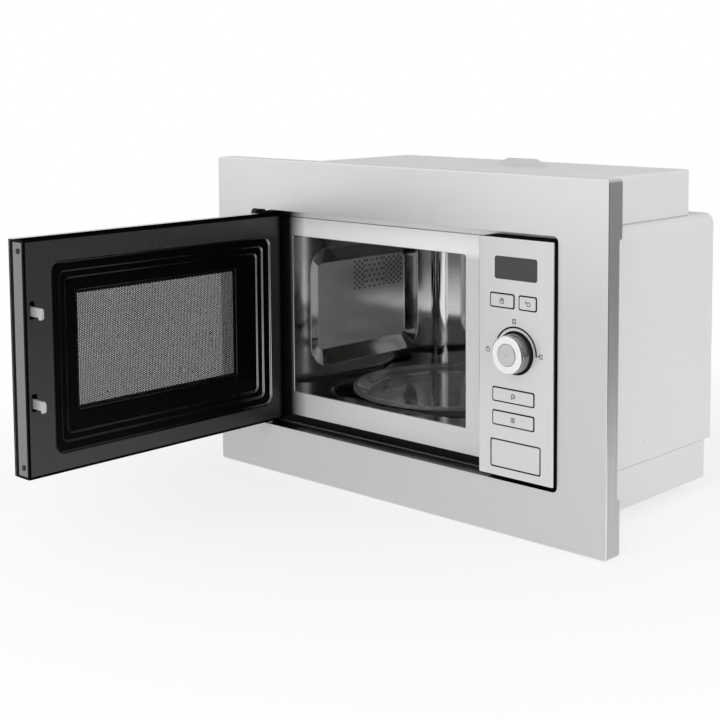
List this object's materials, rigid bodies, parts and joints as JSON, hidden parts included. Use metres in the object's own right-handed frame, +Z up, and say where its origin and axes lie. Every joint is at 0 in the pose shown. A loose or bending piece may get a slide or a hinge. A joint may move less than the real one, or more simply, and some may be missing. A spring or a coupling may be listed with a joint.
{
  "type": "built-in microwave oven",
  "caption": "Built-in microwave oven with a cabinet trim frame, air ducts above and below, side-hinged door, glass turntable, dial and push keys.",
  "frame": {"origin": "centre of the four cabinet screws, level with the soles of the spacer feet", "axes": "+Z up, -Y towards the user at the front, +X to the user's right as seen from the front"},
  "size_m": [0.595, 0.6654, 0.3888],
  "materials": {
    "trim_steel": "fine satin brushing",
    "zinc_sheet": "smooth galvanised",
    "face_steel": "brushed",
    "cavity_steel": "half polished",
    "black_plastic": "fine grain",
    "choke_black": "glossy",
    "pan_enamel": "satin enamel",
    "mesh_steel": "satin black",
    "dark_glass": "polished",
    "clear_film": "clear film",
    "plate_glass": "polished",
    "grey_plastic": "fine grain",
    "knob_metal": "satin anodised",
    "steel": "plain plated",
    "rubber": "matte",
    "yoke_metal": "plain",
    "iron": "laminated",
    "copper_wire": "enamelled wire",
    "circuit_board": "lacquered",
    "mica": "matte sheet",
    "lamp": "frosted"
  },
  "bodies": {
    "chassis": {"trim_frame": "trim_steel", "trim_brackets": "zinc_sheet", "upper_duct": "zinc_sheet", "base_duct": "zinc_sheet", "spacer_feet": "rubber", "oven_pads": "rubber", "base_plate": "zinc_sheet", "front_plate": "cavity_steel", "cavity": "cavity_steel", "casing": "zinc_sheet", "back_panel": "zinc_sheet", "casing_screws": "steel", "inlet_gland": "black_plastic", "waveguide": "zinc_sheet", "mica_cover": "mica", "magnetron": "yoke_metal", "transformer_core": "iron", "transformer_windings": "copper_wire", "capacitor": "yoke_metal", "fan_shroud": "black_plastic", "fan_motor": "iron", "cavity_lamp": "lamp", "filter_board": "circuit_board", "turntable_motor": "yoke_metal", "panel_housing": "black_plastic", "panel_fascia": "face_steel", "display_window": "dark_glass", "control_board": "circuit_board", "encoder": "circuit_board", "latch_board": "grey_plastic", "latch_switches": "black_plastic", "hinge_top": "steel", "hinge_bottom": "steel"},
    "door": {"door_skin": "face_steel", "door_glass": "dark_glass", "door_core": "black_plastic", "door_pan": "pan_enamel", "choke_cover": "choke_black", "inner_window": "clear_film", "mesh_screen": "mesh_steel", "hook_spring": "steel", "door_screws": "steel"},
    "hooks": {"latch_hooks": "grey_plastic"},
    "release": {"release_button": "knob_metal"},
    "lever": {"latch_lever": "grey_plastic"},
    "knob": {"knob": "knob_metal", "encoder_shaft": "steel"},
    "start": {"start_button": "knob_metal"},
    "key_upper_left": {"key_upper_left": "knob_metal"},
    "key_upper_right": {"key_upper_right": "knob_metal"},
    "key_middle": {"key_middle": "knob_metal"},
    "key_lower": {"key_lower": "knob_metal"},
    "coupler": {"turntable_coupler": "grey_plastic"},
    "plate": {"turntable_plate": "plate_glass"},
    "ring": {"roller_ring": "grey_plastic"},
    "roller_1": {"roller_1": "grey_plastic"},
    "roller_2": {"roller_2": "grey_plastic"},
    "roller_3": {"roller_3": "grey_plastic"},
    "fan": {"fan_blade": "black_plastic"}
  },
  "joints": [
    {"name": "door_hinge", "type": "hinge", "parent": "chassis", "child": "door", "pos_m": [-0.219, -0.1564, 0.193], "axis": [0, 0, 1], "range_deg": [-15, 90]},
    {"name": "hook_slide", "type": "slide", "parent": "door", "child": "hooks", "axis": [0, 0, 1], "range_m": [0, 0.004], "stiffness_N_per_m": 300, "springref_m": -0.006, "deforming": ["hook_spring"]},
    {"name": "release_slide", "type": "slide", "parent": "chassis", "child": "release", "axis": [0, 1, 0], "range_m": [0, 0.009], "stiffness_N_per_m": 400, "springref_m": -0.005},
    {"name": "lever_pivot", "type": "hinge", "parent": "chassis", "child": "lever", "pos_m": [0.155, -0.126, 0.134], "axis": [1, 0, 0], "range_deg": [0, 15.5]},
    {"name": "knob_turn", "type": "hinge", "parent": "chassis", "child": "knob", "pos_m": [0.184, -0.16, 0.2005], "axis": [0, -1, 0], "continuous": true},
    {"name": "start_push", "type": "slide", "parent": "knob", "child": "start", "axis": [0, 1, 0], "range_m": [0, 0.001], "stiffness_N_per_m": 600, "springref_m": -0.003},
    {"name": "key_upper_left_push", "type": "slide", "parent": "chassis", "child": "key_upper_left", "axis": [0, 1, 0], "range_m": [0, 0.001], "stiffness_N_per_m": 600, "springref_m": -0.003},
    {"name": "key_upper_right_push", "type": "slide", "parent": "chassis", "child": "key_upper_right", "axis": [0, 1, 0], "range_m": [0, 0.001], "stiffness_N_per_m": 600, "springref_m": -0.003},
    {"name": "key_middle_push", "type": "slide", "parent": "chassis", "child": "key_middle", "axis": [0, 1, 0], "range_m": [0, 0.001], "stiffness_N_per_m": 600, "springref_m": -0.003},
    {"name": "key_lower_push", "type": "slide", "parent": "chassis", "child": "key_lower", "axis": [0, 1, 0], "range_m": [0, 0.001], "stiffness_N_per_m": 600, "springref_m": -0.003},
    {"name": "turntable_spin", "type": "hinge", "parent": "chassis", "child": "coupler", "pos_m": [-0.049, 0.01, 0.08], "axis": [0, 0, 1], "continuous": true},
    {"name": "plate_lift", "type": "slide", "parent": "coupler", "child": "plate", "axis": [0, 0, 1], "range_m": [0, 0.015]},
    {"name": "ring_spin", "type": "hinge", "parent": "chassis", "child": "ring", "pos_m": [-0.049, 0.01, 0.0873], "axis": [0, 0, 1], "continuous": true},
    {"name": "fan_spin", "type": "hinge", "parent": "chassis", "child": "fan", "pos_m": [0.16125, 0.127, 0.1995], "axis": [0, -1, 0], "continuous": true},
    {"name": "roller_1_spin", "type": "hinge", "parent": "ring", "child": "roller_1", "pos_m": [0.03154, 0.0565, 0.0873], "axis": [0.866, 0.5, 0], "continuous": true},
    {"name": "roller_2_spin", "type": "hinge", "parent": "ring", "child": "roller_2", "pos_m": [-0.12954, 0.0565, 0.0873], "axis": [-0.866, 0.5, 0], "continuous": true},
    {"name": "roller_3_spin", "type": "hinge", "parent": "ring", "child": "roller_3", "pos_m": [-0.049, -0.083, 0.0873], "axis": [0, -1, 0], "continuous": true}
  ],
  "couplings": [
    {"joint": "lever_pivot", "follows": "release_slide", "rad_per_m": 30},
    {"joint": "ring_spin", "follows": "turntable_spin", "ratio": 0.5},
    {"joint": "roller_1_spin", "follows": "turntable_spin", "ratio": -7.75},
    {"joint": "roller_2_spin", "follows": "turntable_spin", "ratio": -7.75},
    {"joint": "roller_3_spin", "follows": "turntable_spin", "ratio": -7.75}
  ]
}
